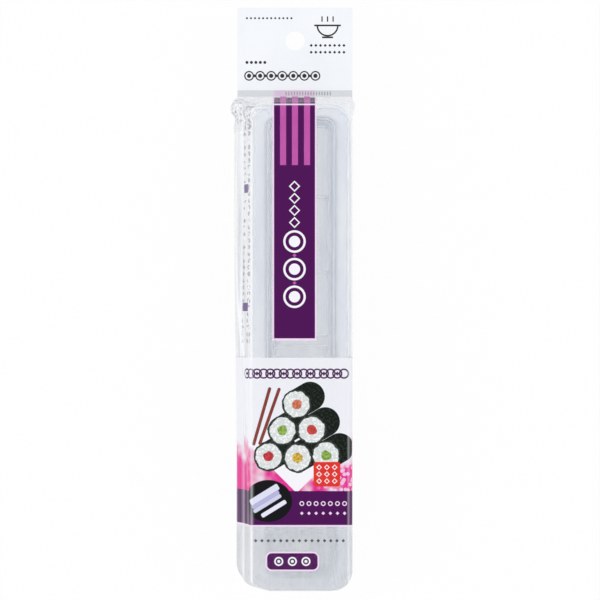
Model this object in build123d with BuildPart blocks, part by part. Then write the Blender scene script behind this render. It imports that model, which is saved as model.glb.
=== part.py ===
from build123d import *
import os
from math import atan2, copysign, degrees

# Sushi rice mould press for slim rolls, in its hanging retail bag.
#
# The press is three injection moulded polypropylene pieces that nest: a base mould with a
# half-round trough, an open frame that stands in its recess, and a presser that drops
# through the frame and closes the trough to a full round. A clear film pouch, sealed to a
# white header with a hang hole, wraps all three.
#
# X is across the mould, Y along it towards the header, Z up. Millimetres.
# The origin is under the middle of the mould, on the flat back of the pouch.

os.makedirs("parts", exist_ok=True)

# --- rice cavity ---------------------------------------------------------------------
roll_radius = 13.5  # radius of the finished roll
portion_length = 35.0  # one cut piece of the roll
portion_count = 6  # cut pieces in one roll
cavity_length = portion_length * portion_count

# --- wall and fits -------------------------------------------------------------------
wall = 1.5  # moulded wall
seat_gap = 0.3  # between pieces that rest on each other
frame_fit = 0.2  # around the foot of the frame, in its recess
presser_fit = 0.3  # around the presser, at the foot of the frame
channel_step = 1.0  # the frame's channel is this much wider than the trough, each side

# --- base mould ----------------------------------------------------------------------
foot_height = 2.0  # from the table side of the feet to the underside of the trough
foot_width = 1.6
foot_spread = 20.0  # between the centres of the two foot rails
recess_depth = 2.0  # recess that takes the foot of the frame
web_thickness = 1.2
web_setback = 4.5  # the webs stop this far inside the flange's edge

# --- flange, alike on base and frame ---------------------------------------------------
side_flange = 9.5  # flange beyond the side of the trough
end_flange = 7.5  # flange beyond the end of the trough
flange_corner = 9.0
flange_thickness = 1.6
lip_wall = 1.3  # turned-down edge
base_lip_drop = 5.0
frame_lip_drop = 3.5
bead_width = 2.1  # raised rim round the frame's flange
bead_height = 0.6
bead_bevel = 0.3

# --- frame ---------------------------------------------------------------------------
frame_height = 25.8  # from its foot to the top of its flange, without the bead
mouth_flare = 1.2  # how much wider the mouth is than the foot, each side
mouth_bevel = 0.6
channel_corner = 3.0

# --- presser -------------------------------------------------------------------------
presser_height = 20.0
presser_flare = 0.5  # how much wider its top is than its foot, each side
presser_corner = 4.0
presser_land = 1.0  # flat edge each side of the pressing groove
rim_bevel = 0.4
rib_thickness = 1.2
rib_below_rim = 1.6  # the cross ribs stop this far under the presser's rim
rim_wall = 2.0
grip_rib_pitch = 5.0  # the three ribs in the middle
grip_rib_count = 3
vent_radius = 3.5  # air holes near the ends, they let the presser lift off the rice
vent_from_end = 12.0
vent_boss_wall = 2.0
vent_boss_height = 1.8

# --- ridges across the rice faces ------------------------------------------------------
ridge_pitch = 4.77  # anti-stick ridges in the trough
ridge_height = 0.4
ridge_front = 0.9  # the steep side of a ridge; its other side runs out to the next ridge
cut_mark_height = 0.4  # in the presser's groove, one at each cut of the roll
cut_mark_half_width = 0.9

# --- retail bag ----------------------------------------------------------------------
film = 0.3
bag_left_room = 7.7  # loose film beside the flange
bag_right_room = 0.9
bag_end_room = 0.4
bag_corner = 9.3
bag_loose_corner = 13.5  # the slack corner at the foot
bag_fold_room = 0.6  # the long folds over the rim lie this far outside the flange
bag_side_drop = 3.5  # from the top of the bag to the upper bend of its right side
bag_heel_level = 14.0  # lower bend of the right side
bag_heel_rise = 2.2  # the lower edges, where the film turns under
bag_heel_inset = 1.5
bag_back_room = 1.2  # flat back of the bag beyond the feet
slack_top_level = 27.0  # the loose left side bulges between these two levels
slack_foot_level = 18.0
slack_top_inset = 0.5
slack_heel_inset = 6.0
gather_length = 4.2  # over which the film is drawn down to the header
header_width = 54.2
header_height = 42.0
header_thickness = 0.5
header_level = 26.0  # height of the header's middle plane
header_corner = 1.0
header_offset = 0.6  # the header sits this far off the middle of the pouch
seal_length = 3.1  # how far the film and the header are sealed together
hang_hole_radius = 4.5
hang_hole_from_top = 15.6

# --- levels --------------------------------------------------------------------------
foot_z = film
parting_z = foot_z + foot_height + wall + roll_radius
base_rim_z = parting_z + recess_depth
frame_foot_z = parting_z + seat_gap
frame_top_z = frame_foot_z + frame_height
bead_top_z = frame_top_z + bead_height
presser_foot_z = parting_z + seat_gap
presser_top_z = presser_foot_z + presser_height
bag_top_z = bead_top_z + seat_gap + film

# --- half sizes that several pieces share ----------------------------------------------
channel_half_x = roll_radius + channel_step
channel_half_y = cavity_length / 2
recess_half_x = channel_half_x + wall + frame_fit
recess_half_y = channel_half_y + wall + frame_fit
recess_corner = channel_corner + wall + frame_fit
flange_half_x = roll_radius + side_flange
flange_half_y = cavity_length / 2 + end_flange
presser_half_x = channel_half_x - presser_fit
presser_half_y = channel_half_y - presser_fit
groove_radius = presser_half_x - presser_land
arch_radius = groove_radius + wall


def slab(half_x, half_y, corner, low, high, mode=Mode.ADD):
    """Upright slab with rounded corners, centred on the origin, from one level to another."""
    with BuildSketch(Plane.XY.offset(low)) as outline:
        RectangleRounded(2 * half_x, 2 * half_y, corner)
    extrude(outline.sketch, amount=high - low, mode=mode)


def flared_block(half_x, half_y, corner, low, high, flare, mode=Mode.ADD):
    """Block whose sides lean outwards by the flare between its two levels."""
    with BuildSketch(Plane.XY.offset(low)) as outline:
        RectangleRounded(2 * half_x, 2 * half_y, corner)
    lean = degrees(atan2(flare, high - low))
    extrude(outline.sketch, amount=high - low, taper=-lean, mode=mode)


def long_round(radius, half_length, side, mode=Mode.ADD):
    """Half cylinder along Y about the roll's axis: side is -1 for under the axis, 1 for over it."""
    with BuildSketch(Plane.XZ.offset(-half_length)) as half_disc:
        with BuildLine():
            CenterArc((0, parting_z), radius, 0, side * 180)
            Line((-radius, parting_z), (radius, parting_z))
        make_face()
    extrude(half_disc.sketch, amount=2 * half_length, mode=mode)


def rice_space(half_length, wall_line, side):
    """Cut out a half-round space: its wall line, turned half way about the roll's axis."""
    axis_plane = Plane(origin=(0, 0, parting_z), x_dir=(0, 1, 0), z_dir=(0, 0, side))
    with BuildSketch(axis_plane) as half_profile:
        with BuildLine():
            Polyline((-half_length, 0), *wall_line, (half_length, 0), close=True)
        make_face()
    revolve(
        half_profile.sketch,
        axis=Axis((0, 0, parting_z), (0, 1, 0)),
        revolution_arc=180,
        mode=Mode.SUBTRACT,
    )


# --- base mould: trough, ledge, flange, feet and webs ------------------------------------
web_count = portion_count - 1
web_half_foot = (foot_spread + foot_width) / 2
web_half_top = flange_half_x - web_setback
web_top_z = base_rim_z - flange_thickness / 2
end_web_y = channel_half_y + wall - web_thickness / 2
ridge_count = 2 * int((channel_half_y - ridge_pitch) / ridge_pitch) + 1

with BuildPart() as base_mould:
    long_round(roll_radius + wall, channel_half_y + wall, -1)
    slab(
        recess_half_x + wall,
        recess_half_y + wall,
        recess_corner + wall,
        parting_z - wall,
        base_rim_z,
    )
    # flange with its turned-down lip
    slab(
        flange_half_x,
        flange_half_y,
        flange_corner,
        base_rim_z - flange_thickness,
        base_rim_z,
    )
    with BuildSketch(Plane.XY.offset(base_rim_z - base_lip_drop)):
        RectangleRounded(2 * flange_half_x, 2 * flange_half_y, flange_corner)
        offset(amount=-lip_wall, mode=Mode.SUBTRACT)
    extrude(amount=base_lip_drop)
    # cradle webs between the trough and the two foot rails
    with BuildPart(mode=Mode.PRIVATE) as web:
        with BuildSketch(Plane.XZ.offset(-web_thickness / 2)):
            with BuildLine():
                Polyline(
                    (-web_half_foot, foot_z),
                    (web_half_foot, foot_z),
                    (web_half_top, web_top_z),
                    (-web_half_top, web_top_z),
                    close=True,
                )
            make_face()
        extrude(amount=web_thickness)
    with GridLocations(0, portion_length, 1, web_count):
        add(web.part)
    with GridLocations(0, 2 * end_web_y, 1, 2):
        add(web.part)
    with BuildSketch(Plane.XY.offset(foot_z)):
        with GridLocations(foot_spread, 0, 2, 1):
            Rectangle(foot_width, 2 * (channel_half_y + wall))
    extrude(amount=parting_z - foot_z - roll_radius / 2)
    # recess for the frame's foot, then the trough itself
    slab(
        recess_half_x,
        recess_half_y,
        recess_corner,
        parting_z,
        base_rim_z + wall,
        mode=Mode.SUBTRACT,
    )
    trough_line = [(-channel_half_y, roll_radius)]
    for place in range(ridge_count):
        crest = (place - (ridge_count - 1) / 2) * ridge_pitch
        trough_line += [
            (crest, roll_radius - ridge_height),
            (crest + ridge_front, roll_radius),
        ]
    trough_line += [(channel_half_y, roll_radius)]
    rice_space(channel_half_y, trough_line, -1)

base_mould.part.label = "base_mould"
export_step(base_mould.part, "parts/base_mould.step")


# --- frame: straight channel with a flanged mouth -----------------------------------------
flange_low_z = frame_top_z - flange_thickness
lip_low_z = frame_top_z - frame_lip_drop

with BuildPart() as upper_frame:
    flared_block(
        channel_half_x + wall,
        channel_half_y + wall,
        channel_corner + wall,
        frame_foot_z,
        frame_top_z,
        mouth_flare,
    )
    slab(flange_half_x, flange_half_y, flange_corner, flange_low_z, frame_top_z)
    # raised rim on the flange, and the lip turned down under it
    with BuildSketch(Plane.XY.offset(flange_low_z)):
        RectangleRounded(2 * flange_half_x, 2 * flange_half_y, flange_corner)
        offset(amount=-bead_width, mode=Mode.SUBTRACT)
    extrude(amount=flange_thickness + bead_height)
    chamfer(upper_frame.faces().sort_by(Axis.Z)[-1].edges(), bead_bevel)
    with BuildSketch(Plane.XY.offset(lip_low_z)):
        RectangleRounded(2 * flange_half_x, 2 * flange_half_y, flange_corner)
        offset(amount=-lip_wall, mode=Mode.SUBTRACT)
    extrude(amount=frame_lip_drop - flange_thickness)
    flared_block(
        channel_half_x,
        channel_half_y,
        channel_corner,
        frame_foot_z,
        frame_top_z,
        mouth_flare,
        mode=Mode.SUBTRACT,
    )
    top_edges = upper_frame.edges().filter_by_position(Axis.Z, frame_top_z, frame_top_z)
    mouth = top_edges.filter_by_position(
        Axis.X,
        -(channel_half_x + mouth_flare),
        channel_half_x + mouth_flare,
    ).filter_by_position(
        Axis.Y,
        -(channel_half_y + mouth_flare),
        channel_half_y + mouth_flare,
    )
    chamfer(mouth, mouth_bevel)

upper_frame.part.label = "upper_frame"
export_step(upper_frame.part, "parts/upper_frame.step")


# --- presser: tray with a half-round pressing face ------------------------------------------
tray_half_x = presser_half_x - rim_wall
tray_half_y = presser_half_y - rim_wall
rib_top_z = presser_top_z - rib_below_rim
vent_y = presser_half_y - vent_from_end
boss_top_z = parting_z + arch_radius + vent_boss_height
groove_half_y = presser_half_y - wall
cut_places = [(cut - portion_count / 2) * portion_length for cut in range(1, portion_count)]

with BuildPart() as presser:
    flared_block(
        presser_half_x,
        presser_half_y,
        presser_corner,
        presser_foot_z,
        presser_top_z,
        presser_flare,
    )
    flared_block(
        tray_half_x,
        tray_half_y,
        presser_corner - rim_wall,
        presser_foot_z,
        presser_top_z,
        presser_flare,
        mode=Mode.SUBTRACT,
    )
    chamfer(presser.faces().sort_by(Axis.Z)[-1].edges(), rim_bevel)
    # cross ribs: three close together in the middle, one at each cut of the roll
    rib_places = [
        (0, (place - (grip_rib_count - 1) / 2) * grip_rib_pitch)
        for place in range(grip_rib_count)
    ]
    rib_places += [(0, cut_y) for cut_y in cut_places if abs(cut_y) > grip_rib_pitch * grip_rib_count]
    with BuildSketch(Plane.XY.offset(presser_foot_z)):
        with Locations(*rib_places):
            Rectangle(2 * tray_half_x + rim_wall, rib_thickness)
    extrude(amount=rib_top_z - presser_foot_z)
    # humped floor with a boss round each air hole
    with BuildPart(mode=Mode.PRIVATE) as arch:
        long_round(arch_radius, presser_half_y - rim_wall / 2, 1)
        slab(
            presser_half_x - rim_wall / 2,
            presser_half_y,
            presser_corner,
            presser_foot_z,
            boss_top_z,
            mode=Mode.INTERSECT,
        )
    add(arch.part)
    with BuildSketch(Plane.XY.offset(parting_z + groove_radius / 2)):
        with GridLocations(0, 2 * vent_y, 1, 2):
            Circle(vent_radius + vent_boss_wall)
    extrude(amount=boss_top_z - parting_z - groove_radius / 2)
    # groove, marked across at each cut of the roll
    groove_line = [(-groove_half_y, groove_radius)]
    for cut_y in cut_places:
        groove_line += [
            (cut_y - cut_mark_half_width, groove_radius),
            (cut_y, groove_radius - cut_mark_height),
            (cut_y + cut_mark_half_width, groove_radius),
        ]
    groove_line += [(groove_half_y, groove_radius)]
    rice_space(groove_half_y, groove_line, 1)
    with BuildSketch(Plane.XY.offset(presser_foot_z)):
        with GridLocations(0, 2 * vent_y, 1, 2):
            Circle(vent_radius)
    extrude(amount=presser_height, mode=Mode.SUBTRACT)

presser.part.label = "presser"
export_step(presser.part, "parts/presser.step")


# --- retail bag: film pouch and header ---------------------------------------------------
bag_low_x = -flange_half_x - bag_left_room - film
bag_high_x = flange_half_x + bag_right_room + film
bag_fold_x = flange_half_x + bag_fold_room + film
bag_back_x = (foot_spread + foot_width) / 2 + bag_back_room
bag_end_y = flange_half_y + bag_end_room + film
header_x = (bag_low_x + bag_high_x) / 2 + header_offset
header_low_y = bag_end_y + gather_length
header_high_y = header_low_y + header_height
hang_hole_y = header_high_y - hang_hole_from_top
seal_low_z = header_level - header_thickness / 2 - film
seal_high_z = header_level + header_thickness / 2 + film

# section across the filled bag: close at the right, slack at the left
bag_section = [
    (-bag_back_x, 0),
    (bag_back_x, 0),
    (bag_high_x - bag_heel_inset, bag_heel_rise),
    (bag_high_x, bag_heel_level),
    (bag_high_x, bag_top_z - bag_side_drop),
    (bag_fold_x, bag_top_z),
    (-bag_fold_x, bag_top_z),
    (bag_low_x + slack_top_inset, slack_top_level),
    (bag_low_x, slack_foot_level),
    (bag_low_x + slack_heel_inset, bag_heel_rise),
]


def pouch(inset):
    """Closed shape of the filled bag, drawn in by the inset on all sides."""
    foot_y = inset - bag_end_y
    shoulder_y = bag_end_y - inset
    seal_y = header_low_y - inset
    section = [(x - copysign(inset, x), z - copysign(inset, z - bag_top_z / 2)) for x, z in bag_section]
    with BuildPart() as block:
        with BuildSketch(Plane.XZ.offset(-foot_y)) as across:
            Polygon(*section, align=None)
        extrude(across.sketch, amount=foot_y - seal_y)
        # side view: the head is drawn down to the seal
        with BuildSketch(Plane.YZ) as side:
            Polygon(
                (foot_y, inset),
                (shoulder_y, inset),
                (seal_y, seal_low_z + inset),
                (seal_y, seal_high_z - inset),
                (shoulder_y, bag_top_z - inset),
                (foot_y, bag_top_z - inset),
                align=None,
            )
        extrude(side.sketch, amount=bag_high_x - bag_low_x, both=True, mode=Mode.INTERSECT)
        # top view: the round corners at the foot
        with BuildSketch() as plan:
            with Locations(((bag_low_x + bag_high_x) / 2, (foot_y + seal_y) / 2)):
                Rectangle(bag_high_x - bag_low_x - 2 * inset, seal_y - foot_y)
            foot_corners = plan.vertices().group_by(Axis.Y)[0].sort_by(Axis.X)
            fillet(foot_corners[0], bag_loose_corner - inset)
            fillet(foot_corners[-1], bag_corner - inset)
        extrude(plan.sketch, amount=bag_top_z, mode=Mode.INTERSECT)
    return block.part


with BuildPart() as bag_film:
    add(pouch(0))
    with BuildSketch(Plane.XY.offset(header_level)):
        with Locations((header_x, header_low_y + seal_length / 2)):
            Rectangle(header_width, seal_length)
    extrude(amount=header_thickness / 2 + film, both=True)
    add(pouch(film), mode=Mode.SUBTRACT)
    with BuildSketch(Plane.XY.offset(header_level)):
        with Locations((header_x, header_low_y + header_height / 2)):
            Rectangle(header_width + film, header_height)
    extrude(amount=header_thickness / 2, both=True, mode=Mode.SUBTRACT)

bag_film.part.label = "bag_film"
export_step(bag_film.part, "parts/bag_film.step")

with BuildPart() as header_panel:
    with BuildSketch(Plane.XY.offset(header_level - header_thickness / 2)):
        with Locations((header_x, header_low_y + header_height / 2)):
            RectangleRounded(header_width, header_height, header_corner)
        with Locations((header_x, hang_hole_y)):
            Circle(hang_hole_radius, mode=Mode.SUBTRACT)
    extrude(amount=header_thickness)

header_panel.part.label = "header_panel"
export_step(header_panel.part, "parts/header_panel.step")
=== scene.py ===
"""Looks of the sushi rice mould press in its hanging bag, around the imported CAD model.

Metres, in the CAD model's own frame: X across the mould, Y towards the header, Z up.
The three mouldings keep their CAD meshes. The film pouch and the header are modelled here.
"""

import math

import bpy
import numpy as np
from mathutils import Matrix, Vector, noise


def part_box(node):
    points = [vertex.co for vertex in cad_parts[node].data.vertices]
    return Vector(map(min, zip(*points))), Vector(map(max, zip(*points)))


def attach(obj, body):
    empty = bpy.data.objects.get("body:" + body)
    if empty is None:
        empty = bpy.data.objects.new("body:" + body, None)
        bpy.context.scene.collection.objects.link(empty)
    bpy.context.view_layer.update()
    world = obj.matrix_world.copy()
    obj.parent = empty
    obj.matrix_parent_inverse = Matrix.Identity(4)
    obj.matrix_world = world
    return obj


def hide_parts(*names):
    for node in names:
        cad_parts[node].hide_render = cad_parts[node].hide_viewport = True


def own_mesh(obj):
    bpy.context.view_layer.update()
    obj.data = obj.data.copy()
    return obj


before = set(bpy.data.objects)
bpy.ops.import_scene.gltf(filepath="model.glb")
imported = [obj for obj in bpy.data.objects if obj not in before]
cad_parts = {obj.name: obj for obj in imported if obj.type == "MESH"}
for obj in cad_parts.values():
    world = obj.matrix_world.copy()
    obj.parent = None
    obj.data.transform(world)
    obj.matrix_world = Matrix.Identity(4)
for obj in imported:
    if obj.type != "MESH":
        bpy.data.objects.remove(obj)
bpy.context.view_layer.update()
bpy.context.scene.view_settings.view_transform = "Standard"

MM = 0.001  # in metres

# --- camera -------------------------------------------------------------------------------
CAMERA_HEIGHT = 1.244
FLANGE_LEVEL = 0.044
VIEW_WIDTH = 0.278  # what the camera takes in at the level of the frame's flange
VIEW_CENTRE = (-0.00046, 0.0219)
SENSOR_WIDTH = 36

camera_data = bpy.data.cameras.new("camera")
camera_data.sensor_width = SENSOR_WIDTH
camera_data.lens = SENSOR_WIDTH * (CAMERA_HEIGHT - FLANGE_LEVEL) / VIEW_WIDTH
camera = bpy.data.objects.new("camera", camera_data)
camera.location = (*VIEW_CENTRE, CAMERA_HEIGHT)
bpy.context.scene.collection.objects.link(camera)
bpy.context.scene.camera = camera


# --- node helpers -------------------------------------------------------------------------
def add_node(tree, kind, settings=None, **sockets):
    """Node with its settings; each socket is given a value or another node's output."""
    node = tree.nodes.new(kind)
    for name, value in (settings or {}).items():
        setattr(node, name, value)
    for name, value in sockets.items():
        key = int(name[1:]) if name[0] == "i" and name[1:].isdigit() else name.replace("_", " ")
        if isinstance(value, bpy.types.NodeSocket):
            tree.links.new(value, node.inputs[key])
        else:
            node.inputs[key].default_value = value
    return node


def maths(tree, operation, first, second=0.5, clamp=False):
    settings = {"operation": operation, "use_clamp": clamp}
    return add_node(tree, "ShaderNodeMath", settings, i0=first, i1=second).outputs[0]


def vector_maths(tree, operation, first, second=(0, 0, 0), output=0):
    node = add_node(tree, "ShaderNodeVectorMath", {"operation": operation}, i0=first, i1=second)
    return node.outputs[output]


def ramp(tree, value, low, high, to_low=0.0, to_high=1.0):
    """Smooth step from one range to another, held at its ends."""
    node = add_node(
        tree, "ShaderNodeMapRange", {"interpolation_type": "SMOOTHSTEP"},
        Value=value, From_Min=low, From_Max=high, To_Min=to_low, To_Max=to_high,
    )
    return node.outputs[0]


def blend_colour(tree, mask, under, over):
    sides = []
    for value in (under, over):
        sides.append(value if isinstance(value, bpy.types.NodeSocket) else (*value, 1))
    mix = add_node(tree, "ShaderNodeMix", {"data_type": "RGBA"}, i0=mask, i6=sides[0], i7=sides[1])
    return mix.outputs[2]


def blend_value(tree, mask, under, over):
    mix = add_node(tree, "ShaderNodeMix", {"data_type": "FLOAT"}, i0=mask, i2=under, i3=over)
    return mix.outputs[0]


def noise_value(tree, place, scale, detail=2.0):
    texture = add_node(tree, "ShaderNodeTexNoise", Vector=place, Scale=scale, Detail=detail)
    return texture.outputs[0]


def new_group(name, inputs, outputs):
    """Shader node group with its named sockets: (name, socket kind, default)."""
    tree = bpy.data.node_groups.new(name, "ShaderNodeTree")
    for label, kind, value in inputs:
        socket = tree.interface.new_socket(label, in_out="INPUT", socket_type="NodeSocket" + kind)
        if value is not None:
            socket.default_value = value
    for label, kind in outputs:
        tree.interface.new_socket(label, in_out="OUTPUT", socket_type="NodeSocket" + kind)
    entry = tree.nodes.new("NodeGroupInput").outputs
    leave = tree.nodes.new("NodeGroupOutput").inputs
    return tree, entry, leave


def use_group(tree, group, **sockets):
    return add_node(tree, "ShaderNodeGroup", {"node_tree": group}, **sockets).outputs


def new_material(name):
    material = bpy.data.materials.new(name)
    material.use_nodes = True
    tree = material.node_tree
    return material, tree, tree.nodes["Principled BSDF"]


def object_place(tree):
    return tree.nodes.new("ShaderNodeTexCoord").outputs["Object"]


# --- shared effects -----------------------------------------------------------------------
INK_EDGE = 0.06  # half the blur of a printed edge, mm
FLOW_SCALE, FLOW_STRETCH = 90.0, (1, 0.18, 1)  # waves and scratches run along the mould
SCRATCH_SCALE, SCRATCH_STRETCH = 900.0, (1, 0.04, 1)
RICE_PALE, RICE_SHADE = (0.93, 0.93, 0.92), (0.66, 0.69, 0.68)
DEEP_FILLING = (0.55, 0.5, 0.5)  # factors on the filling's colour in its darker spots
WRAP_EDGE_DARK, WRAP_EDGE_PALE = (0.008, 0.014, 0.01), (0.045, 0.06, 0.045)


def build_printed_tile():
    """Mask of a print in the shape of a box with round corners, in mm on X and Y."""
    tree, entry, leave = new_group(
        "printed_tile",
        [
            ("Place", "Vector", None),
            ("Centre", "Vector", (0, 0, 0)),
            ("Half Size", "Vector", (1, 1, 0)),
            ("Corner", "Float", 0.5),
            ("Turn", "Float", 0.0),
        ],
        [("Mask", "Float")],
    )
    offset = vector_maths(tree, "SUBTRACT", entry["Place"], entry["Centre"])
    turned = add_node(
        tree, "ShaderNodeVectorRotate", {"rotation_type": "Z_AXIS"},
        Vector=offset, Angle=entry["Turn"],
    ).outputs[0]
    flat = vector_maths(tree, "MULTIPLY", turned, (1, 1, 0))
    past = vector_maths(tree, "SUBTRACT", vector_maths(tree, "ABSOLUTE", flat), entry["Half Size"])
    split = add_node(tree, "ShaderNodeSeparateXYZ", i0=past).outputs
    grown_x = maths(tree, "ADD", split[0], entry["Corner"])
    grown_y = maths(tree, "ADD", split[1], entry["Corner"])
    inside = maths(tree, "MINIMUM", maths(tree, "MAXIMUM", grown_x, grown_y), 0.0)
    outer = add_node(
        tree, "ShaderNodeCombineXYZ",
        i0=maths(tree, "MAXIMUM", grown_x, 0.0), i1=maths(tree, "MAXIMUM", grown_y, 0.0),
    ).outputs[0]
    reach = maths(tree, "ADD", vector_maths(tree, "LENGTH", outer, output=1), inside)
    distance = maths(tree, "SUBTRACT", reach, entry["Corner"])
    tree.links.new(ramp(tree, distance, INK_EDGE, -INK_EDGE), leave["Mask"])
    return tree


def build_moulded_grain():
    """Height of injection moulded plastic: fine grain, slow flow waves and a few scratches."""
    tree, entry, leave = new_group(
        "moulded_grain",
        [("Place", "Vector", None), ("Grain Size", "Float", 0.4), ("Scratches", "Float", 0.3)],
        [("Height", "Float"), ("Cloud", "Float")],
    )
    fine_scale = maths(tree, "DIVIDE", 1 / MM, entry["Grain Size"])
    fine = noise_value(tree, entry["Place"], fine_scale)
    flow_place = vector_maths(tree, "MULTIPLY", entry["Place"], FLOW_STRETCH)
    flow = noise_value(tree, flow_place, FLOW_SCALE)
    scratch_place = vector_maths(tree, "MULTIPLY", entry["Place"], SCRATCH_STRETCH)
    scratch = ramp(tree, noise_value(tree, scratch_place, SCRATCH_SCALE, 1.0), 0.62, 0.7)
    scratches = maths(tree, "MULTIPLY", scratch, entry["Scratches"])
    waves = maths(tree, "MULTIPLY", flow, 1.5)
    height = maths(tree, "ADD", maths(tree, "MULTIPLY", fine, 0.12), waves)
    tree.links.new(maths(tree, "SUBTRACT", height, scratches), leave["Height"])
    tree.links.new(flow, leave["Cloud"])
    return tree


def build_motif_row():
    """Row of equal rings, discs or diamonds in mm, from the first centre along the turned X."""
    tree, entry, leave = new_group(
        "motif_row",
        [
            ("Place", "Vector", None),
            ("First", "Vector", (0, 0, 0)),
            ("Turn", "Float", 0.0),
            ("Pitch", "Float", 5.0),
            ("Last", "Float", 0.0),
            ("Radius", "Float", 2.0),
            ("Line", "Float", 0.5),
            ("Diamond", "Float", 0.0),
        ],
        [("Mask", "Float")],
    )
    offset = vector_maths(tree, "SUBTRACT", entry["Place"], entry["First"])
    turned = add_node(
        tree, "ShaderNodeVectorRotate", {"rotation_type": "Z_AXIS"},
        Vector=offset, Angle=entry["Turn"],
    ).outputs[0]
    split = add_node(tree, "ShaderNodeSeparateXYZ", i0=turned).outputs
    count = maths(tree, "ROUND", maths(tree, "DIVIDE", split[0], entry["Pitch"]))
    nearest = maths(tree, "MINIMUM", maths(tree, "MAXIMUM", count, 0.0), entry["Last"])
    along = maths(tree, "SUBTRACT", split[0], maths(tree, "MULTIPLY", nearest, entry["Pitch"]))
    flat = add_node(tree, "ShaderNodeCombineXYZ", i0=along, i1=split[1]).outputs[0]
    round_reach = vector_maths(tree, "LENGTH", flat, output=1)
    aside = maths(tree, "ABSOLUTE", split[1])
    square_reach = maths(tree, "ADD", maths(tree, "ABSOLUTE", along), aside)
    reach = blend_value(tree, entry["Diamond"], round_reach, square_reach)
    half_line = maths(tree, "MULTIPLY", entry["Line"], 0.5)
    off_line = maths(tree, "SUBTRACT", reach, maths(tree, "SUBTRACT", entry["Radius"], half_line))
    distance = maths(tree, "SUBTRACT", maths(tree, "ABSOLUTE", off_line), half_line)
    tree.links.new(ramp(tree, distance, INK_EDGE, -INK_EDGE), leave["Mask"])
    return tree


def build_roll_slice():
    """Print of a cut rice roll seen from its end: dark wrap, rice grains and a filling."""
    tree, entry, leave = new_group(
        "roll_slice",
        [
            ("Place", "Vector", None),
            ("Centre", "Vector", (0, 0, 0)),
            ("Radius", "Float", 7.0),
            ("Filling", "Color", (0.6, 0.05, 0.04, 1)),
            ("Filling Size", "Float", 0.34),
        ],
        [("Colour", "Color"), ("Mask", "Float")],
    )
    offset = vector_maths(tree, "SUBTRACT", entry["Place"], entry["Centre"])
    flat = vector_maths(tree, "MULTIPLY", offset, (1, 1, 0))
    wobble = noise_value(tree, entry["Place"], 0.35)
    reach = vector_maths(tree, "LENGTH", flat, output=1)
    bent = maths(tree, "ADD", reach, ramp(tree, wobble, 0.3, 0.7, -0.3, 0.3))
    share = maths(tree, "DIVIDE", bent, entry["Radius"])
    grains = add_node(tree, "ShaderNodeTexVoronoi", Vector=entry["Place"], Scale=0.95)
    grain_shade = ramp(tree, grains.outputs["Distance"], 0.1, 0.65)
    rice = blend_colour(tree, grain_shade, RICE_PALE, RICE_SHADE)
    flesh = noise_value(tree, entry["Place"], 0.9, 3.0)
    deep = vector_maths(tree, "MULTIPLY", entry["Filling"], DEEP_FILLING)
    filling = blend_colour(tree, ramp(tree, flesh, 0.4, 0.6), entry["Filling"], deep)
    core = ramp(tree, maths(tree, "SUBTRACT", share, entry["Filling Size"]), 0.03, -0.03)
    inside = blend_colour(tree, core, rice, filling)
    wrap = blend_colour(tree, ramp(tree, flesh, 0.35, 0.7), WRAP_EDGE_DARK, WRAP_EDGE_PALE)
    colour = blend_colour(tree, ramp(tree, share, 0.84, 0.88), inside, wrap)
    tree.links.new(colour, leave["Colour"])
    tree.links.new(ramp(tree, share, 1.0, 0.98), leave["Mask"])
    return tree


PRINTED_TILE = build_printed_tile()
MOULDED_GRAIN = build_moulded_grain()
MOTIF_ROW = build_motif_row()
ROLL_SLICE = build_roll_slice()


# --- moulded polypropylene ----------------------------------------------------------------
PLASTIC_PALE, PLASTIC_DEEP = (0.82, 0.86, 0.94), (0.72, 0.77, 0.88)
EDGE_ON_DENSITY = 0.74  # how much a wall that is seen along itself hides
PLASTIC_SHADE, FILM_SHADE = 0.12, 0.25  # share of the density that holds light back


def eased_for_light(tree, alpha, shade):
    """Thin plastic hands scattered light on, so it shades less than its look suggests."""
    rays = add_node(tree, "ShaderNodeLightPath").outputs
    light = maths(tree, "MAXIMUM", rays["Is Shadow Ray"], rays["Is Diffuse Ray"])
    kept = maths(tree, "SUBTRACT", 1.0, maths(tree, "MULTIPLY", light, 1.0 - shade))
    return maths(tree, "MULTIPLY", alpha, kept)


def moulded_plastic(name, grain_size, facing_density):
    """Natural polypropylene: milky and see-through, denser where it is seen along its wall."""
    material, tree, shader = new_material(name)
    grain = use_group(tree, MOULDED_GRAIN, Place=object_place(tree), Grain_Size=grain_size)
    tint = blend_colour(tree, ramp(tree, grain["Cloud"], 0.35, 0.65), PLASTIC_DEEP, PLASTIC_PALE)
    tree.links.new(tint, shader.inputs["Base Color"])
    rough = ramp(tree, grain["Cloud"], 0.3, 0.7, 0.22, 0.36)
    tree.links.new(rough, shader.inputs["Roughness"])
    edge_on = add_node(tree, "ShaderNodeLayerWeight", Blend=0.35).outputs["Facing"]
    density = ramp(tree, edge_on, 0.1, 0.85, facing_density, EDGE_ON_DENSITY)
    tree.links.new(eased_for_light(tree, density, PLASTIC_SHADE), shader.inputs["Alpha"])
    shader.inputs["IOR"].default_value = 1.49
    shader.inputs["Subsurface Weight"].default_value = 0.8
    shader.inputs["Subsurface Radius"].default_value = (1.0, 1.0, 1.0)
    shader.inputs["Subsurface Scale"].default_value = 0.003
    bump = add_node(tree, "ShaderNodeBump", Strength=0.25, Distance=0.0004, Height=grain["Height"])
    tree.links.new(bump.outputs[0], shader.inputs["Normal"])
    return material


PLASTICS = {
    "base_mould": moulded_plastic("base_polypropylene", 0.5, 0.16),
    "upper_frame": moulded_plastic("frame_polypropylene", 0.45, 0.2),
    "presser": moulded_plastic("presser_polypropylene", 0.5, 0.16),
}
for node_name, material in PLASTICS.items():
    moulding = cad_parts[node_name]
    moulding.data.materials.clear()
    moulding.data.materials.append(material)


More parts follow.
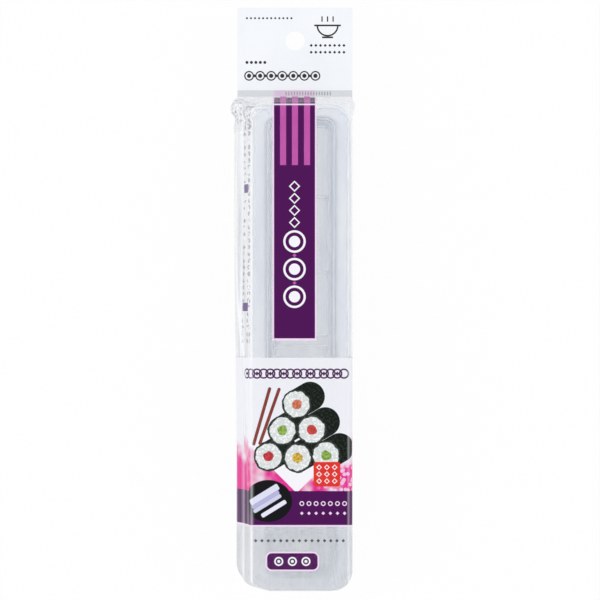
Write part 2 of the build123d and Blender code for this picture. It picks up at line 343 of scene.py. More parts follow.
# --- tools of the modelling ---------------------------------------------------------------
def select_none():
    if bpy.context.object and bpy.context.object.mode != "OBJECT":
        bpy.ops.object.mode_set(mode="OBJECT")
    bpy.ops.object.select_all(action="DESELECT")


UPRIGHT = 0.9  # an edge that rises by this share of its length counts as upright


def select_upright_edges(mesh):
    for item in (*mesh.vertices, *mesh.edges, *mesh.polygons):
        item.select = False
    for edge in mesh.edges:
        run = mesh.vertices[edge.vertices[1]].co - mesh.vertices[edge.vertices[0]].co
        edge.select = abs(run.z) > UPRIGHT * run.length


# --- film pouch ---------------------------------------------------------------------------
# A flat sheet of film is rolled round the press, then drawn in at both ends. Millimetres.
FILM_ROUND, FILM_ALONG = 240, 280  # cells round the pouch and along it
FLANGE_HALF_X, FLANGE_HALF_Y, FLANGE_CORNER = 23.0, 112.5, 9.0
SLACK_CORNER, RIGHT_CORNER = 11.5, 9.3  # the pouch's round corners at the foot
BACK_HALF_X = 12.0  # the film lies flat on the feet this far out
LEFT_FOLD_X, RIGHT_FOLD_X = -23.5, 23.6  # the front turns down over the frame's sides
RIM_EASE, FOOT_EASE = 0.5, 0.1  # how loosely the film follows the frame's outline
FILM_TOP_Z, FILM_BACK_Z = 44.3, 0.1
FILM_LEFT_X, FILM_RIGHT_X = -31.3, 24.0
FILM_FOOT_Y, SHOULDER_Y, SEAL_FOOT_Y, SEAL_HEAD_Y = -113.1, 112.9, 117.5, 120.5
SEAL_LEVEL, SEAL_HALF = 26.0, 0.42
PINCH_LEVEL = 24.0  # the foot end is drawn in to a level edge here
GUSSET_X = -28.0  # lengthwise fold in the slack side
CREASE_Y = 112.5  # where the film breaks over the mould's head
FLARE, FLARE_Y = 1.3, (108, 117.4)  # how far the film stands out beside the shoulder, and where
SLACK_FROM_X = (-23.4, -25.9)  # range over which the slack side begins
HEAD_FROM_Y, HEAD_FROM_X = (97, 107), (-14, -20)  # and the gathered head
SLACK_LIFT, BACK_LIFT, HEAD_LIFT, SIDE_LIFT = 1.5, 0.7, 0.5, 1.7  # heights of the folds
GUSSET_DEPTH, GUSSET_WIDTH = 0.7, 0.7
LOWEST_Z = 0.04
LONG_FOLDS = (0.05, (1.5, 0.1, 1.1), 11.0)  # scale, stretch and seed of the crumple
CROSS_FOLDS = (0.11, (1.0, 0.9, 0.8), 5.0)
BACK_Z, UPPER_Z, HEAD_Z, FRONT_Z = 4, 20, 30, 38  # levels between parts of the pouch
SAME_PLACE = 0.000001  # points closer than this are merged, m
SHARP_RIDGE = (0.86, 0.98)  # range of the crumple over which a ridge counts as a sharp crease and gets a painted highlight
LEFT_EDGE_HIGHLIGHT, RIGHT_EDGE_HIGHLIGHT = (-22.9, 0.6), (22.2, 0.35)  # painted highlight line over the frame's edge: place, width


def corner_line(y, edge_x, edge_y, corner):
    """Distance from the middle to a side that ends in a round corner."""
    past = np.clip(np.abs(y) - (edge_y - corner), 0, corner)
    return edge_x - corner + np.sqrt(corner ** 2 - past ** 2)


def crumple(points, scale, stretch, seed):
    """Ridged noise from 0 to 1 at each point, drawn out along the axes by the stretch."""
    flat = (points * np.array(stretch) * scale + seed).reshape(-1, 3)
    values = np.array([1 - 2 * abs(noise.noise(Vector(point))) for point in flat])
    return np.clip(values, 0, 1).reshape(points.shape[:-1])


def fade_in(value, start, full):
    """Share from 0 at the start to 1 at the full value, either of which may be the larger."""
    return np.clip((value - start) / (full - start), 0, 1)


def ridge(value, middle, width):
    """Bell of height 1 round the middle value."""
    return np.exp(-((value - middle) / width) ** 2)


def smooth_rings(grid, passes):
    """Even out the sheet round the pouch."""
    for _ in range(passes):
        grid = 0.5 * grid + 0.25 * (np.roll(grid, 1, 1) + np.roll(grid, -1, 1))
    return grid


def film_sections():
    """Closed sections of the film, as a grid of points: stations along it by places round it."""
    along = np.linspace(0, 1, FILM_ALONG + 1)
    y = np.interp(
        along,
        [0, 0.05, 0.1, 0.9, 0.955, 1],
        [FILM_FOOT_Y - FOOT_EASE, FILM_FOOT_Y + 0.25, -104, 104, SEAL_FOOT_Y, SEAL_HEAD_Y],
    )
    pinch = np.interp(along, [0, 0.05], [0.02, 1])
    gather = fade_in(y, SHOULDER_Y, SEAL_FOOT_Y)
    foot_y = 2 * FOOT_EASE - FILM_FOOT_Y
    rim = corner_line(y, FLANGE_HALF_X, FLANGE_HALF_Y, FLANGE_CORNER) + RIM_EASE
    slack = corner_line(np.minimum(y, 0), -FILM_LEFT_X, foot_y, SLACK_CORNER)
    right = corner_line(np.minimum(y, 0), FILM_RIGHT_X, foot_y, RIGHT_CORNER)
    left_fold = np.maximum(-rim, LEFT_FOLD_X)
    right_fold = np.minimum(rim, RIGHT_FOLD_X)
    back = BACK_HALF_X * np.ones_like(y)
    # corners: share of the way round, line along the side, height, place across the flat seal
    corners = [
        (0, left_fold, FILM_TOP_Z, -23.5),
        (0.28, right_fold, FILM_TOP_Z, 21),
        (0.31, right, FILM_TOP_Z - 3.5, 22.4),
        (0.42, right, 14, 24.2),
        (0.47, right - 1.5, 2, 22.4),
        (0.52, back, FILM_BACK_Z, BACK_HALF_X),
        (0.66, -back, FILM_BACK_Z, -BACK_HALF_X),
        (0.73, 6 - slack, 2.4, -24),
        (0.83, -slack, 18, -29.9),
        (0.88, 0.5 - slack, 27, -29),
        (1, left_fold, FILM_TOP_Z, -23.5),
    ]
    turns, side_lines, heights, seal_places = zip(*corners)
    places = np.arange(FILM_ROUND) / FILM_ROUND
    x = np.array([np.interp(places, turns, station) for station in np.array(side_lines).T])
    z = np.repeat(np.interp(places, turns, heights)[None, :], len(y), 0)
    z = PINCH_LEVEL + (z - PINCH_LEVEL) * pinch[:, None]
    # flat seal over the header's lower edge
    flat_x = np.interp(places, turns, seal_places)
    seal_faces = SEAL_HALF * np.array([1, 1, -1, -1, 1, 1])
    flat_z = np.interp(places, [0, 0.405, 0.435, 0.8, 0.84, 1], seal_faces)
    ease = gather ** 1.2
    flare = FLARE * np.sin(np.pi * fade_in(y, *FLARE_Y))
    x = x + (flat_x[None, :] - x) * ease[:, None]
    z = z + (SEAL_LEVEL + flat_z[None, :] - z) * ease[:, None]
    x = x + np.sign(x) * flare[:, None] * np.clip(np.abs(x) / 20, 0, 1) ** 4
    return smooth_rings(np.stack([x, np.repeat(y[:, None], FILM_ROUND, 1), z], 2), 2)


def outward(grid):
    round_run = np.roll(grid, -1, 1) - np.roll(grid, 1, 1)
    along_run = np.gradient(grid, axis=0)
    face = np.cross(round_run, along_run)
    return face / np.maximum(np.linalg.norm(face, axis=2, keepdims=True), 1e-9)


def wrinkle_film(grid):
    """Folds of slack film, and at each point the strength from 0 to 1 of a painted highlight along
    its sharp creases, its gusset, the head's fold and the frame's edges.
    """
    x, y, z = grid[..., 0], grid[..., 1], grid[..., 2]
    normal = outward(grid)
    body = fade_in(y, SHOULDER_Y + 1, SHOULDER_Y - 1) * fade_in(y, FILM_FOOT_Y + 1, FILM_FOOT_Y + 4)
    slack = fade_in(x, *SLACK_FROM_X) * body
    head = fade_in(y, *HEAD_FROM_Y) * fade_in(y, SEAL_FOOT_Y, SEAL_FOOT_Y - 2)
    head *= fade_in(x, *HEAD_FROM_X)
    back = (z < BACK_Z) * body * (np.abs(x) > BACK_HALF_X)
    long_fold = crumple(grid, *LONG_FOLDS)
    cross_fold = crumple(grid, *CROSS_FOLDS)
    gusset = ridge(x, GUSSET_X, GUSSET_WIDTH) * slack * (z > UPPER_Z)
    lift = slack * (SLACK_LIFT * (long_fold - 0.5) - GUSSET_DEPTH * gusset)
    lift += head * (SIDE_LIFT * (np.abs(x) > FLANGE_HALF_X) + HEAD_LIFT) * (cross_fold - 0.65)
    lift += BACK_LIFT * back * (long_fold - 0.65)
    grid = grid + normal * lift[..., None]
    grid[..., 2] = np.maximum(grid[..., 2], LOWEST_Z)
    # painted highlight lines where the film turns over the frame's edges; below, also along sharp
    # creases, the head's fold and the gusset
    over_edge = 0.9 * (ridge(x, *LEFT_EDGE_HIGHLIGHT) + ridge(x, *RIGHT_EDGE_HIGHLIGHT))
    over_edge *= (z > FRONT_Z) * body
    sharp = fade_in(long_fold, *SHARP_RIDGE) * slack + fade_in(cross_fold, *SHARP_RIDGE) * head
    tight_head = ridge(y, CREASE_Y, 0.35) * (z > HEAD_Z)
    crease_highlight = np.clip(over_edge + 0.8 * sharp + 0.6 * tight_head + 0.7 * gusset, 0, 1)
    return grid, crease_highlight


def sheet_width(grid):
    """Way round the film to each point from the front's line over x = 0, positive to the right."""
    steps = np.linalg.norm(np.roll(grid, -1, 1) - grid, axis=2)
    reached = np.cumsum(steps, axis=1) - steps
    girth = steps.sum(axis=1)
    front_cells = FILM_ROUND // 4
    rings = zip(grid[:, :front_cells, 0], reached[:, :front_cells])
    middle = [np.interp(0, ring_x, ring_reached) for ring_x, ring_reached in rings]
    width = reached - np.array(middle)[:, None]
    return np.where(width > girth[:, None] / 2, width - girth[:, None], width)


def close_ends():
    """Merge the rolled sheet's seam and fill its two ends, in the active mesh."""
    bpy.ops.object.mode_set(mode="EDIT")
    bpy.ops.mesh.select_all(action="SELECT")
    bpy.ops.mesh.remove_doubles(threshold=SAME_PLACE)
    bpy.ops.mesh.select_all(action="DESELECT")
    bpy.ops.mesh.select_mode(type="EDGE")
    bpy.ops.mesh.select_non_manifold()
    bpy.ops.mesh.fill_holes(sides=0)
    bpy.ops.mesh.select_all(action="SELECT")
    bpy.ops.mesh.normals_make_consistent(inside=False)
    bpy.ops.object.mode_set(mode="OBJECT")


def make_pouch():
    """Closed pouch, with the place on the flat sheet and the strength of the painted crease
    highlight kept at each point.
    """
    select_none()
    bpy.ops.mesh.primitive_grid_add(x_subdivisions=FILM_ROUND, y_subdivisions=FILM_ALONG, size=1)
    pouch = bpy.context.object
    pouch.name = pouch.data.name = "film_pouch"
    mesh = pouch.data
    smooth = film_sections()
    grid, crease_highlight = wrinkle_film(smooth)
    printed = fade_in(smooth[..., 2], 1.5, 4.0)
    sheet = np.stack([sheet_width(smooth), smooth[..., 1], printed], 2)
    flat = np.array([vertex.co for vertex in mesh.vertices])
    place_round = np.rint((flat[:, 0] + 0.5) * FILM_ROUND).astype(int) % FILM_ROUND
    place_along = np.rint((flat[:, 1] + 0.5) * FILM_ALONG).astype(int)
    mesh.vertices.foreach_set("co", (grid[place_along, place_round] * MM).ravel())
    crease_highlight_data = mesh.attributes.new("crease_highlight", "FLOAT", "POINT").data
    crease_highlight_data.foreach_set("value", crease_highlight[place_along, place_round])
    sheet_data = mesh.attributes.new("sheet", "FLOAT_VECTOR", "POINT").data
    sheet_data.foreach_set("vector", sheet[place_along, place_round].ravel())
    mesh.update()
    close_ends()
    bpy.ops.object.shade_smooth_by_angle(angle=math.radians(60))
    return pouch


# --- header board -------------------------------------------------------------------------
HEADER_LOW, HEADER_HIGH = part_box("header_panel")
HEADER_CORNER = 1 * MM
HANG_HOLE, HANG_HOLE_RADIUS = (-0.0028, 0.1438), 4.5 * MM
PUNCH_DEPTH = 10 * MM


def make_header():
    select_none()
    centre = (HEADER_LOW + HEADER_HIGH) / 2
    size = HEADER_HIGH - HEADER_LOW
    bpy.ops.mesh.primitive_cube_add(size=1, location=centre, scale=size)
    board = bpy.context.object
    board.name = board.data.name = "header_board"
    bpy.ops.object.transform_apply(location=True, rotation=True, scale=True)
    select_upright_edges(board.data)
    bpy.ops.object.mode_set(mode="EDIT")
    bpy.ops.mesh.select_mode(type="EDGE")
    bpy.ops.mesh.bevel(offset=HEADER_CORNER, segments=4, affect="EDGES")
    bpy.ops.object.mode_set(mode="OBJECT")
    bpy.ops.mesh.primitive_cylinder_add(
        vertices=64, radius=HANG_HOLE_RADIUS, depth=PUNCH_DEPTH, location=(*HANG_HOLE, centre.z),
    )
    punch = bpy.context.object
    select_none()
    board.select_set(True)
    bpy.context.view_layer.objects.active = board
    cut = board.modifiers.new("hang_hole", "BOOLEAN")
    cut.operation = "DIFFERENCE"
    cut.object = punch
    cut.solver = "EXACT"
    bpy.ops.object.modifier_apply(modifier=cut.name)
    bpy.data.objects.remove(punch)
    bpy.ops.object.shade_smooth_by_angle(angle=math.radians(40))
    return board


# --- inks and the sheets they are printed on ----------------------------------------------
DARK_PURPLE = (0.07, 0.002, 0.085)
PINK = (0.5, 0.075, 0.36)
PALE_PINK = (0.88, 0.68, 0.87)
MAGENTA = (0.76, 0.01, 0.27)
PRINT_WHITE = (0.9, 0.88, 0.92)
PANEL_GREY = (0.84, 0.84, 0.88)
INK_BLACK = (0.004, 0.004, 0.006)
STAMP_RED = (0.72, 0.025, 0.012)
STICK_RED = (0.22, 0.03, 0.02)
WRAP_DARK, WRAP_PALE = (0.003, 0.006, 0.004), (0.03, 0.042, 0.032)
FINE_PRINT = (0.2, 0.2, 0.24)
FOOT_PRINT = (0.05, 0.05, 0.06)
SIDE_MARK = (0.12, 0.06, 0.2)
# grey of the painted shade in the gathered film's crinkles
CRINKLE_SHADE_GREY = (0.26, 0.27, 0.31)
SEAL_GREY, SEAL_PINK, SEAL_DOTS = (0.62, 0.64, 0.66), (0.66, 0.48, 0.64), (0.3, 0.3, 0.32)
DOWN = math.pi / 2  # turn of a row that runs towards the foot


class PrintedSheet:
    """Sheet with its inks laid over one another, at places in mm."""

    def __init__(self, tree, point, front):
        self.tree, self.point, self.front = tree, point, front
        self.across, self.along, _ = add_node(tree, "ShaderNodeSeparateXYZ", i0=point).outputs
        self.colour = self.alpha = None

    def cloud(self, scale, detail=2.0):
        return noise_value(self.tree, self.point, scale, detail)

    def fade(self, value, start, full):
        return ramp(self.tree, value, start, full)

    def overlap(self, first, second):
        return maths(self.tree, "MULTIPLY", first, second)

    def tile(self, centre, half, corner=0.05, turn=0.0):
        return use_group(
            self.tree, PRINTED_TILE, Place=self.point, Centre=(*centre, 0), Half_Size=(*half, 0),
            Corner=corner, Turn=turn,
        )["Mask"]

    def rings(self, first, pitch, count, radius, line, diamond=0.0, turn=0.0, squeeze=(1, 1)):
        """Row from the first centre; each ring is drawn in by the squeeze's factors on X and Y."""
        place = vector_maths(self.tree, "MULTIPLY", self.point, (*squeeze, 0))
        first = (first[0] * squeeze[0], first[1] * squeeze[1], 0)
        return use_group(
            self.tree, MOTIF_ROW, Place=place, First=first, Pitch=pitch, Last=count - 1.0,
            Radius=radius, Line=line, Diamond=diamond, Turn=turn,
        )["Mask"]

    def discs(self, first, pitch, count, radius, **form):
        return self.rings(first, pitch, count, radius, radius, **form)

    def diamonds(self, first, pitch, count, radius, line=None, **form):
        """Row of outlines, or of full diamonds where no line is given."""
        return self.rings(first, pitch, count, radius, line or radius, diamond=1.0, **form)

    def lay(self, mask, ink, opacity=1.0):
        """Cover the masked part of the printed side, and of the sheet's density if it has one."""
        mask = self.overlap(mask, self.front)
        self.colour = blend_colour(self.tree, mask, self.colour, ink)
        if self.alpha is not None:
            self.alpha = blend_value(self.tree, mask, self.alpha, opacity)


# --- prints of the film -------------------------------------------------------------------
# Places are in mm on the flat sheet, before it is rolled.
CLEAR_FILM, FOOT_FILM = (0.74, 0.77, 0.82), (0.62, 0.64, 0.67)
# white of the painted highlight along the film's creases and over the frame's edges
FOLD_HIGHLIGHT_WHITE = (0.95, 0.96, 0.98)
WRAP_ROUND = 66.0  # half the length of a print that runs on over the sides

BAND_X, BAND_HALF = -3.0, 9.5
STRIPES_X, STRIPE_Y, STRIPE_HALF = (-8.3, -2.8, 2.8), 101.2, (1.4, 16.8)
BAND_DIAMONDS, DIAMOND_PITCH = (BAND_X, 74.6), 5.6
BAND_DISCS, DISC_PITCH = (BAND_X, 49.0), 12.8

PANEL_Y, PANEL_HALF = -35.8, 30.9
PAPER_CENTRE, PAPER_HALF = (-2.0, -47.0), (14.5, 14.5)
STICKS = ((-14.6, 0.34), (-18.2, 0.28))  # place across and lean
STICK_Y, STICK_HALF = -32.0, (0.75, 14.0)
SLICE_RADIUS = 6.9
ROLL_BEHIND, ROLL_HALF, ROLL_LEAN = (3.1, 1.8), (10.4, 6.8), -0.53  # wrapped roll behind a slice
SLICES = (  # centre and filling of each slice in the stack
    ((-15.0, -50.6), (0.62, 0.04, 0.05)),
    ((-1.6, -51.2), (0.75, 0.5, 0.06)),
    ((11.6, -50.2), (0.3, 0.5, 0.08)),
    ((-8.6, -38.6), (0.3, 0.5, 0.08)),
    ((5.0, -38.2), (0.66, 0.06, 0.05)),
    ((-2.0, -26.4), (0.72, 0.2, 0.1)),
)
HEADING, HEADING_PITCH = (-26.6, -12.2), 6.2
STAMP, STAMP_HALF = (12.0, -58.8), (6.2, 5.7)
STAMP_PITCH = 3.6
STAMP_ROWS_Y = (-55.6, -58.8, -62.0)

FOOT_BAND_Y, FOOT_BAND_HALF = -74.5, 7.9
OVAL, OVAL_RADIUS, OVAL_SQUEEZE = (-15.2, -71.2), 11.1, (1, 1.14)
BAR_LEAN = -0.55
OVAL_BARS = (  # middle, half length and half width, shade
    ((-17.0, -68.3), (7.6, 1.5), (0.72, 0.72, 0.86)),
    ((-16.4, -70.6), (7.2, 1.0), (0.45, 0.45, 0.68)),
    ((-15.6, -72.4), (7.4, 0.9), (0.62, 0.62, 0.8)),
    ((-12.6, -74.8), (6.6, 1.0), (0.78, 0.78, 0.9)),
)
LABEL, LABEL_DISCS = (-4.0, -99.2), (-10.3, -99.2)
SIDE_COLUMNS_Y, SIDE_SQUEEZE = 108.4, (0.6, 1)
SIDE_MARKS, SIDE_MARK_HALF = ((-29.5, 73.8), (-29.5, 18.7)), (3.0, 2.0)
SEAL_Y, SEAL_PRINT_HALF, SEAL_DOT_SQUEEZE = 119.0, 1.5, (1, 0.35)


def lay_bare_film(film, crease_highlight, wrinkle):
    """Clear film, greyer and denser at the foot, with a painted highlight along its folds."""
    tree = film.tree
    foot = film.fade(film.along, -78.0, -90.0)
    clear = blend_colour(tree, foot, CLEAR_FILM, FOOT_FILM)
    film.colour = blend_colour(tree, crease_highlight, clear, FOLD_HIGHLIGHT_WHITE)
    haze = ramp(tree, wrinkle, 0.3, 0.7, 0.2, 0.3)
    haze = maths(tree, "ADD", haze, maths(tree, "MULTIPLY", foot, 0.28))
    film.alpha = maths(tree, "ADD", haze, maths(tree, "MULTIPLY", crease_highlight, 0.5), clamp=True)


def lay_long_band(film):
    """Dark band with its stripes, a row of diamonds and a column of discs in rings."""
    film.lay(film.tile((BAND_X, 60.1), (BAND_HALF + 0.7, 57.0)), PALE_PINK, 0.9)
    film.lay(film.tile((BAND_X, 60.5), (BAND_HALF, 56.4)), DARK_PURPLE)
    for stripe_x in STRIPES_X:
        film.lay(film.tile((stripe_x, STRIPE_Y), STRIPE_HALF), PINK, 0.97)
    # painted highlight: pale line across the band where the film breaks over the mould's head
    film.lay(film.tile((BAND_X, CREASE_Y), (BAND_HALF, 0.3)), PALE_PINK, 0.9)
    white_marks = (
        film.diamonds(BAND_DIAMONDS, DIAMOND_PITCH, 4, 2.6, 0.75, turn=DOWN),
        film.rings(BAND_DISCS, DISC_PITCH, 3, 5.2, 1.0, turn=DOWN),
        film.discs(BAND_DISCS, DISC_PITCH, 3, 2.6, turn=DOWN),
    )
    for mark in white_marks:
        film.lay(mark, PRINT_WHITE, 0.95)
    between = (BAND_X, BAND_DISCS[1] - DISC_PITCH / 2)
    film.lay(film.diamonds(between, DISC_PITCH, 2, 0.9, turn=DOWN), PINK, 0.95)


def lay_panel(film):
    """Pale ground that turns magenta at its foot, with blurred lights at the right."""
    tree = film.tree
    panel = film.tile((0, PANEL_Y), (WRAP_ROUND, PANEL_HALF))
    film.lay(panel, PANEL_GREY, 0.93)
    off_middle = maths(tree, "ABSOLUTE", maths(tree, "SUBTRACT", film.across, BAND_X))
    side = maths(tree, "MULTIPLY", film.fade(off_middle, 14.0, 30.0), 0.35)
    drop = maths(tree, "ADD", film.fade(film.along, -30.0, -66.0), side)
    cloud = maths(tree, "MULTIPLY", maths(tree, "SUBTRACT", film.cloud(0.09), 0.5), 2.2)
    blush = film.fade(maths(tree, "ADD", drop, cloud), 0.45, 1.15)
    blush = film.overlap(blush, film.fade(film.along, -34.0, -44.0))
    film.lay(film.overlap(panel, blush), MAGENTA, 0.95)
    lights = add_node(
        tree, "ShaderNodeTexVoronoi", {"voronoi_dimensions": "2D"}, Vector=film.point, Scale=0.42,
    ).outputs["Distance"]
    corner = film.overlap(film.fade(film.along, -50.0, -58.0), film.fade(film.across, 6.0, 14.0))
    glow = film.overlap(film.overlap(film.fade(lights, 0.42, 0.3), corner), panel)
    film.lay(maths(tree, "MULTIPLY", glow, 0.75), PALE_PINK, 0.95)


def lay_roll_stack(film):
    """Stack of roll slices on a sheet of white paper, with two sticks behind."""
    film.lay(film.tile(PAPER_CENTRE, PAPER_HALF, 1.0, math.pi / 4), PRINT_WHITE, 0.97)
    for stick_x, lean in STICKS:
        film.lay(film.tile((stick_x, STICK_Y), STICK_HALF, 0.7, lean), STICK_RED, 0.97)
    speck = film.fade(film.cloud(1.1, detail=4.0), 0.45, 0.75)
    dark_wrap = blend_colour(film.tree, speck, WRAP_DARK, WRAP_PALE)
    for (slice_x, slice_y), _ in SLICES:
        roll = (slice_x + ROLL_BEHIND[0], slice_y + ROLL_BEHIND[1])
        film.lay(film.tile(roll, ROLL_HALF, 6.7, ROLL_LEAN), dark_wrap)
    for centre, filling in SLICES:
        slice_print = use_group(
            film.tree, ROLL_SLICE,
            Place=film.point, Centre=(*centre, 0), Radius=SLICE_RADIUS, Filling=(*filling, 1),
        )
        film.lay(slice_print["Mask"], slice_print["Colour"], 0.98)


def lay_heading_and_stamp(film):
    """Chain of linked rings with diamonds in it, and a red stamp with a square of diamonds."""
    heading_x, heading_y = HEADING
    for shift in (0.0, HEADING_PITCH / 2):
        linked = film.rings((heading_x + shift, heading_y), HEADING_PITCH, 8, 2.4, 0.75)
        film.lay(linked, DARK_PURPLE, 0.95)
    film.lay(film.diamonds(HEADING, HEADING_PITCH, 8, 1.0), DARK_PURPLE, 0.95)
    film.lay(film.tile(STAMP, STAMP_HALF, 1.2), STAMP_RED, 0.98)
    for row_y in STAMP_ROWS_Y:
        row = film.diamonds((STAMP[0] - STAMP_PITCH, row_y), STAMP_PITCH, 3, 1.3, 0.5)
        film.lay(row, PRINT_WHITE, 0.95)


def lay_foot_band(film):
    """Dark band at the panel's foot, with pale bars in an oval and two rows of marks."""
    film.lay(film.tile((0, FOOT_BAND_Y), (WRAP_ROUND, FOOT_BAND_HALF)), DARK_PURPLE)
    film.lay(film.tile((0, -82.75), (WRAP_ROUND, 0.4)), PALE_PINK, 0.9)
    film.lay(film.discs(OVAL, 5.0, 1, OVAL_RADIUS, squeeze=OVAL_SQUEEZE), INK_BLACK)
    for middle, half, shade in OVAL_BARS:
        film.lay(film.tile(middle, half, 0.7, BAR_LEAN), shade, 0.97)
    film.lay(film.rings((0.4, -72.4), 3.3, 7, 1.1, 0.45), PALE_PINK, 0.9)
    film.lay(film.diamonds((0.4, -76.9), 3.3, 7, 0.8), PALE_PINK, 0.9)


def lay_clear_foot(film):
    """Fine row of diamonds, and a small label with three discs in rings."""
    film.lay(film.diamonds((-21.0, -89.6), 2.9, 15, 0.85), FOOT_PRINT, 0.9)
    film.lay(film.tile(LABEL, (12.4, 4.5), 2.8), PALE_PINK, 0.95)
    film.lay(film.tile(LABEL, (11.7, 3.8), 2.2), DARK_PURPLE, 0.98)
    for radius in (2.1, 0.7):
        film.lay(film.rings(LABEL_DISCS, 6.3, 3, radius, 0.7), PRINT_WHITE, 0.95)


def lay_slack_side(film):
    """Two columns of fine marks with gaps, and painted shade in the crinkles where the film is
    gathered.
    """
    gaps = film.fade(film.cloud(0.3), 0.46, 0.5)
    columns = (
        film.diamonds((-32.0, SIDE_COLUMNS_Y), 3.1, 35, 1.2, turn=DOWN, squeeze=SIDE_SQUEEZE),
        film.discs((-25.6, SIDE_COLUMNS_Y), 3.1, 35, 1.2, turn=DOWN, squeeze=SIDE_SQUEEZE),
    )
    for column in columns:
        film.lay(film.overlap(column, gaps), FINE_PRINT, 0.6)
    for mark in SIDE_MARKS:
        film.lay(film.tile(mark, SIDE_MARK_HALF), SIDE_MARK, 0.9)
    gathered = film.overlap(film.fade(film.along, 99.0, 106.0), film.fade(film.along, 117.0, 115.0))
    gathered = film.overlap(gathered, film.fade(film.across, -20.0, -24.0))
    # painted shade: grey speckle in the crinkles of the gathered film near the head
    crinkle_shade = film.fade(film.cloud(0.75, detail=3.0), 0.52, 0.62)
    film.lay(film.overlap(gathered, crinkle_shade), CRINKLE_SHADE_GREY, 0.75)


def lay_seal(film):
    """Grey seal with a row of fine perforations, tinted where the band runs into it."""
    film.lay(film.tile((0, SEAL_Y), (WRAP_ROUND, SEAL_PRINT_HALF)), SEAL_GREY, 0.7)
    film.lay(film.tile((BAND_X, SEAL_Y), (BAND_HALF, SEAL_PRINT_HALF)), SEAL_PINK, 0.8)
    film.lay(film.discs((-7.0, SEAL_Y), 1.3, 17, 0.34, squeeze=SEAL_DOT_SQUEEZE), SEAL_DOTS, 0.75)


def printed_film():
    """Clear film with its prints, and a painted highlight along its creases laid over them."""
    material, tree, shader = new_material("printed_film")
    sheet = add_node(tree, "ShaderNodeAttribute", {"attribute_name": "sheet"}).outputs["Vector"]
    crease_highlight = add_node(tree, "ShaderNodeAttribute", {"attribute_name": "crease_highlight"}).outputs["Fac"]
    front = add_node(tree, "ShaderNodeSeparateXYZ", i0=sheet).outputs[2]
    film = PrintedSheet(tree, vector_maths(tree, "MULTIPLY", sheet, (1, 1, 0)), front)
    long_place = vector_maths(tree, "MULTIPLY", film.point, (1, 0.12, 1))
    wrinkle = noise_value(tree, long_place, 0.3)
    lay_bare_film(film, crease_highlight, wrinkle)
    lay_long_band(film)
    lay_panel(film)
    lay_roll_stack(film)
    lay_heading_and_stamp(film)
    lay_foot_band(film)
    lay_clear_foot(film)
    lay_slack_side(film)
    lay_seal(film)
    # painted highlight along the creases, over the prints as well
    fold_highlight_share = maths(tree, "MULTIPLY", crease_highlight, 0.4)
    highlighted_colour = blend_colour(tree, fold_highlight_share, film.colour, FOLD_HIGHLIGHT_WHITE)
    tree.links.new(highlighted_colour, shader.inputs["Base Color"])
    tree.links.new(eased_for_light(tree, film.alpha, FILM_SHADE), shader.inputs["Alpha"])
    shader.inputs["Roughness"].default_value = 0.14
    shader.inputs["IOR"].default_value = 1.22
    bump = add_node(tree, "ShaderNodeBump", Strength=0.4, Distance=0.0006, Height=wrinkle)
    tree.links.new(bump.outputs[0], shader.inputs["Normal"])
    return material


# --- prints of the header -----------------------------------------------------------------
BOARD_SHADE, BOARD_PALE = (0.86, 0.88, 0.91), (0.89, 0.905, 0.925)
BOARD_FRONT = 26.0  # prints are only on the face above this level, mm
BOWL_X, BOWL_RIM_Y, BOWL_RADIUS = 12.5, 151.0, 5.2
BOWL_STROKES = (  # place from the middle of the rim, half size: rim, foot and three wisps of steam
    ((0.0, 0.0), (6.3, 0.4)),
    ((0.0, -5.6), (2.6, 0.4)),
    ((-2.6, 3.0), (0.3, 1.3)),
    ((0.0, 3.0), (0.3, 1.3)),
    ((2.6, 3.0), (0.3, 1.3)),
)
CHAIN_X, CHAIN_Y, CHAIN_PITCH = -24.4, 127.3, 5.2


def coated_board():
    """White board with a plain black drawing of a bowl and rows of small marks."""
    material, tree, shader = new_material("coated_board")
    place = object_place(tree)
    point = vector_maths(tree, "MULTIPLY", place, (1 / MM, 1 / MM, 1 / MM))
    level = add_node(tree, "ShaderNodeSeparateXYZ", i0=point).outputs[2]
    board = PrintedSheet(tree, point, ramp(tree, level, BOARD_FRONT, BOARD_FRONT + 0.2))
    cloud = noise_value(tree, place, 60.0, 3.0)
    board.colour = blend_colour(tree, ramp(tree, cloud, 0.3, 0.7), BOARD_SHADE, BOARD_PALE)
    below_rim = board.fade(board.along, BOWL_RIM_Y + 0.05, BOWL_RIM_Y - 0.05)
    marks = [board.overlap(board.rings((BOWL_X, BOWL_RIM_Y), 9.0, 1, BOWL_RADIUS, 0.75), below_rim)]
    for (shift_x, shift_y), half in BOWL_STROKES:
        marks.append(board.tile((BOWL_X + shift_x, BOWL_RIM_Y + shift_y), half, 0.2))
    marks += [
        board.diamonds((4.8, 141.6), 2.2, 8, 0.75),
        board.diamonds((4.8, 138.4), 2.2, 8, 0.75),
        board.diamonds((-25.4, 154.4), 1.9, 12, 0.6),
        board.discs((-25.4, 133.6), 2.1, 5, 0.7),
        board.rings((CHAIN_X, CHAIN_Y), CHAIN_PITCH, 7, 2.3, 0.6),
        board.discs((CHAIN_X, CHAIN_Y), CHAIN_PITCH, 7, 1.0),
        board.diamonds((CHAIN_X + CHAIN_PITCH / 2, CHAIN_Y), CHAIN_PITCH, 6, 0.8),
    ]
    for mark in marks:
        board.lay(mark, INK_BLACK)
    tree.links.new(board.colour, shader.inputs["Base Color"])
    shader.inputs["Roughness"].default_value = 0.35
    bump = add_node(tree, "ShaderNodeBump", Strength=0.15, Distance=0.0003, Height=cloud)
    tree.links.new(bump.outputs[0], shader.inputs["Normal"])
    return material


pouch = make_pouch()
pouch.data.materials.append(printed_film())
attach(pouch, "package")
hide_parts("bag_film")
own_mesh(pouch)

header = make_header()
header.data.materials.append(coated_board())
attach(header, "package")
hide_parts("header_panel")
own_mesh(header)


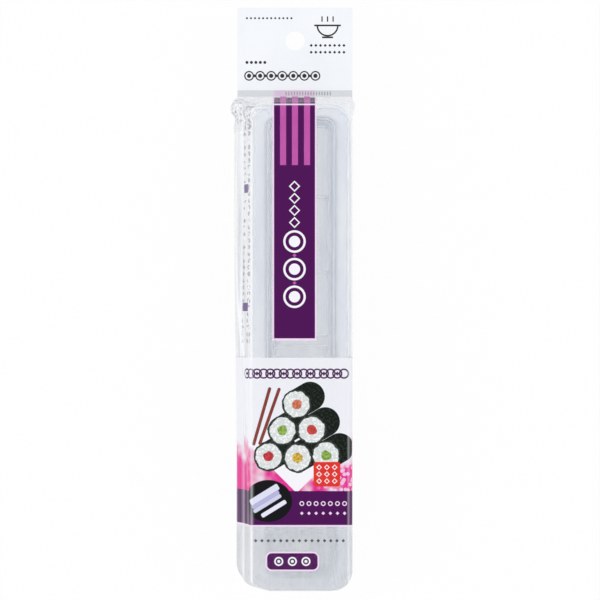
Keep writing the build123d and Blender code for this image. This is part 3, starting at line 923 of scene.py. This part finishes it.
# --- floor and light ----------------------------------------------------------------------
FLOOR_SIZE, FLOOR_LEVEL = 8, -0.0002
FLOOR_GREY = (0.86, 0.87, 0.88, 1)
BACKGROUND_SHARE = 0.95  # how much of the seen floor is plain white
SOFTBOX_SIZE = (0.5, 1.4)
LIGHT_AIM = (0, 0.02, 0.03)
SKY_COLOUR, SKY_STRENGTH = (0.97, 0.98, 1, 1), 0.84


def make_floor():
    select_none()
    bpy.ops.mesh.primitive_plane_add(size=FLOOR_SIZE, location=(0, 0, FLOOR_LEVEL))
    floor = bpy.context.object
    floor.name = "floor"
    material, tree, shader = new_material("pale_floor")
    shader.inputs["Base Color"].default_value = FLOOR_GREY
    shader.inputs["Roughness"].default_value = 0.9
    rays = tree.nodes.new("ShaderNodeLightPath").outputs
    mirrored = maths(tree, "MAXIMUM", rays["Is Glossy Ray"], rays["Is Transmission Ray"])
    seen = maths(tree, "MAXIMUM", rays["Is Camera Ray"], mirrored)
    white = add_node(tree, "ShaderNodeEmission", Color=(1, 1, 1, 1), Strength=1.0).outputs[0]
    share = maths(tree, "MULTIPLY", seen, BACKGROUND_SHARE)
    mix = add_node(tree, "ShaderNodeMixShader", i0=share, i1=shader.outputs[0], i2=white)
    tree.links.new(mix.outputs[0], tree.nodes["Material Output"].inputs[0])
    floor.data.materials.append(material)


def softbox(name, place, power):
    data = bpy.data.lights.new(name, "AREA")
    data.shape = "RECTANGLE"
    data.size, data.size_y = SOFTBOX_SIZE
    data.energy = power
    lamp = bpy.data.objects.new(name, data)
    lamp.location = place
    aim = Vector(LIGHT_AIM) - Vector(place)
    lamp.rotation_euler = aim.to_track_quat("-Z", "Y").to_euler()
    bpy.context.scene.collection.objects.link(lamp)


make_floor()
softbox("left_softbox", (-1.3, 0.1, 1.0), 7)
softbox("right_softbox", (1.4, 0.0, 0.9), 5)

world = bpy.data.worlds.new("studio")
bpy.context.scene.world = world
world.use_nodes = True
sky = world.node_tree.nodes["Background"].inputs
sky["Color"].default_value = SKY_COLOUR
sky["Strength"].default_value = SKY_STRENGTH
